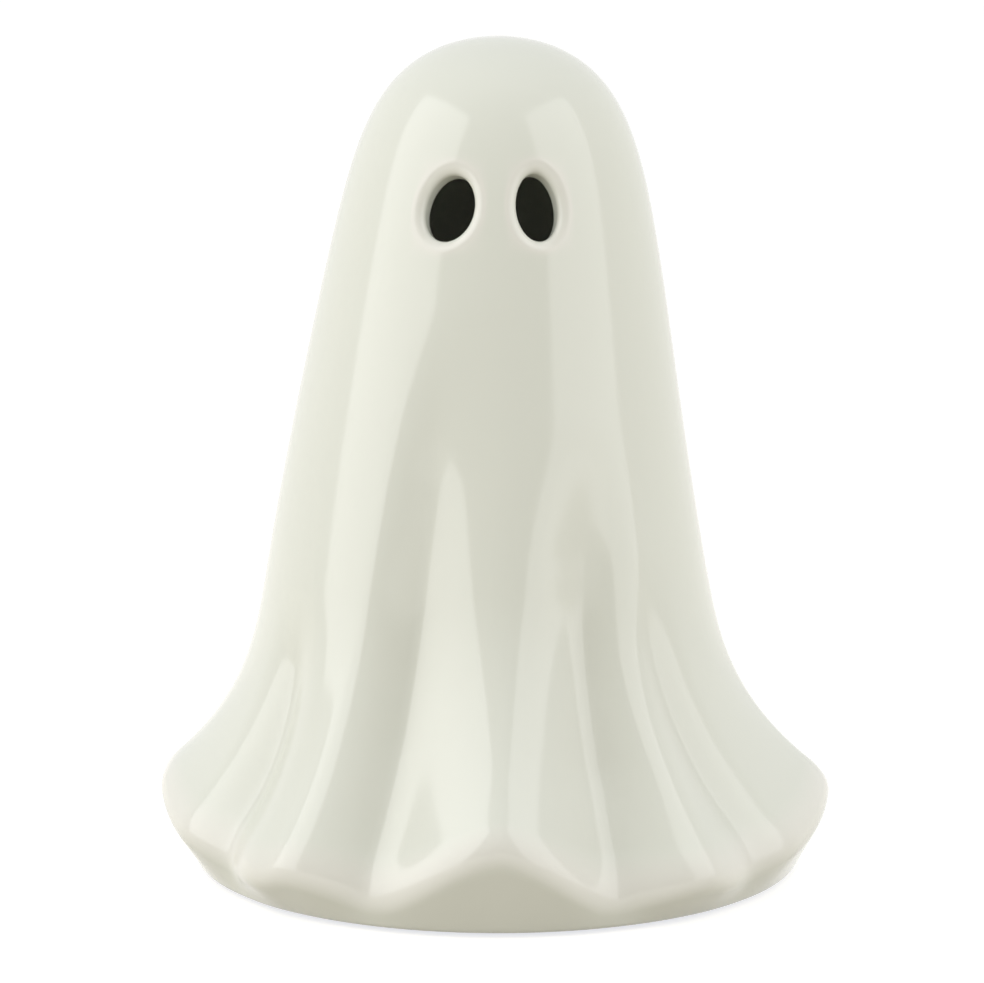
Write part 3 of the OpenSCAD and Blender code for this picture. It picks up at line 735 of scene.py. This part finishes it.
# Studio, with lengths in metres where nothing else is said
studio = {
    "cameraDistance": 0.700,
    "cameraPitch": 10.0,
    "aimHeight": 0.0784,
    "frame": (984, 983),        # pixels
    "focalPixels": 3639,        # focal length in pixels of that frame
    "centre": (498, 462.3),     # where the aim point lies in it
    "sensor": 36,               # in millimetres
    "roomLevel": 0.40,
    "roomGradient": (0.06, 0.12, 0),
    "roomSides": (0.86, 0, 0),
    "cameraSide": 0.25,         # how bright the gloss sees the room behind the camera
    "cameraSideEnds": -0.2,     # and how far towards the camera that part reaches
    "floorSize": 12,
    "floorColour": "#BDB6A6",   # what the paper throws back under the hem
    "floorTone": "#C1BAAA",
    "fibreSize": 2,             # in millimetres
    "floorGlow": 0.77,
    "glowColour": "#F6F9FF",    # evens out the warm paper, so that it looks white
    "lampAim": (0, 0, 0.08),
}

# Each lamp: its direction in degrees from the face, where it stands and how large it is
softboxes = {
    "leftSoftbox": {"azimuth": -62, "distance": 0.8, "height": 0.38,
                    "width": 0.82, "tall": 1.1, "power": 4.8},
    "rightSoftbox": {"azimuth": 57, "distance": 0.8, "height": 0.38,
                     "width": 0.68, "tall": 1.1, "power": 2.9},
}


def makeCamera():
    camera = bpy.data.objects.new("photoCamera", bpy.data.cameras.new("photoCamera"))
    scene.collection.objects.link(camera)
    pitch = math.radians(studio["cameraPitch"])
    reach = studio["cameraDistance"]
    wide, tall = studio["frame"]
    camera.location = (0, -reach * math.cos(pitch), studio["aimHeight"] + reach * math.sin(pitch))
    camera.rotation_euler = (math.pi / 2 - pitch, 0, 0)
    camera.data.sensor_width = studio["sensor"]
    camera.data.lens = studio["focalPixels"] / wide * studio["sensor"]
    camera.data.shift_x = (wide / 2 - studio["centre"][0]) / wide
    camera.data.shift_y = (studio["centre"][1] - tall / 2) / wide
    scene.camera = camera


def makeSoftbox(name, box):
    # a tall soft lamp, turned towards the ghost
    lamp = bpy.data.lights.new(name, "AREA")
    lamp.shape = "RECTANGLE"
    lamp.size, lamp.size_y, lamp.energy = box["width"], box["tall"], box["power"]
    holder = bpy.data.objects.new(name, lamp)
    scene.collection.objects.link(holder)
    turn = math.radians(box["azimuth"])
    holder.location = (math.sin(turn) * box["distance"], -math.cos(turn) * box["distance"],
                       box["height"])
    aim = Vector(studio["lampAim"]) - holder.location
    holder.rotation_euler = aim.to_track_quat("-Z", "Y").to_euler()


def seenBy(tree, *kinds):
    # 1 for rays of these kinds
    path = addNode(tree, "LightPath")
    seen = path.outputs[kinds[0]]
    for kind in kinds[1:]:
        seen = addMath(tree, "MAXIMUM", seen, path.outputs[kind])
    return seen


def makeWorld():
    world = bpy.data.worlds.new("paleStudio")
    scene.world = world
    world.use_nodes = True
    tree = world.node_tree
    tree.nodes.clear()
    # what lights the ghost: a white room, brightest behind it and at its sides, a little brighter
    # to the right
    place = addNode(tree, "TexCoord").outputs["Generated"]
    towards = addNode(tree, "VectorMath", {"operation": "DOT_PRODUCT"}, {
        0: place, 1: studio["roomGradient"]}).outputs["Value"]
    sides = addNode(tree, "VectorMath", {"operation": "MULTIPLY"}, {
        0: place, 1: studio["roomSides"]}).outputs[0]
    across = addNode(tree, "VectorMath", {"operation": "DOT_PRODUCT"}, {
        0: place, 1: sides}).outputs["Value"]
    level = addMath(tree, "ADD", addMath(tree, "ADD", towards, studio["roomLevel"]), across)
    dim = addNode(tree, "Background", inputs={"Color": (1, 1, 1, 1), "Strength": level})
    # the backdrop is white to the eye; the gloss sees it dim towards the camera's side
    away = addNode(tree, "SeparateXYZ", inputs={0: place}).outputs["Y"]
    shown = addRange(tree, away, studio["cameraSide"], 1.0, -1.0, studio["cameraSideEnds"])
    direct = seenBy(tree, "Is Camera Ray", "Is Transmission Ray")
    strength = addMath(tree, "MAXIMUM", shown, direct)
    white = addNode(tree, "Background", inputs={"Color": (1, 1, 1, 1), "Strength": strength})
    seen = seenBy(tree, "Is Camera Ray", "Is Glossy Ray", "Is Transmission Ray")
    mix = addNode(tree, "MixShader", inputs={0: seen, 1: dim.outputs[0], 2: white.outputs[0]})
    output = addNode(tree, "OutputWorld")
    tree.links.new(mix.outputs[0], output.inputs["Surface"])


def makeFloor():
    # matt warm paper; it glows where it is seen, so that it looks white and keeps the shadow
    bpy.ops.mesh.primitive_plane_add(size=studio["floorSize"])
    floor = bpy.context.object
    floor.name = "paperFloor"
    material, tree, place = newMaterial("mattWhitePaper")
    fibre = addNoise(tree, place, studio["fibreSize"], 3.0)
    paper = addNode(tree, "BsdfDiffuse", inputs={
        "Color": addBlend(tree, fibre, studio["floorColour"], studio["floorTone"])})
    seen = seenBy(tree, "Is Camera Ray", "Is Glossy Ray", "Is Transmission Ray")
    glow = addNode(tree, "Emission", inputs={
        "Color": linearColour(studio["glowColour"]),
        "Strength": addMath(tree, "MULTIPLY", seen, studio["floorGlow"])})
    shader = addNode(tree, "AddShader", inputs={0: paper.outputs[0], 1: glow.outputs[0]})
    floor.data.materials.append(finishMaterial(material, shader))


makeCamera()
for name, box in softboxes.items():
    makeSoftbox(name, box)
makeWorld()
makeFloor()
scene.view_settings.view_transform = "Standard"
print("studio set up")
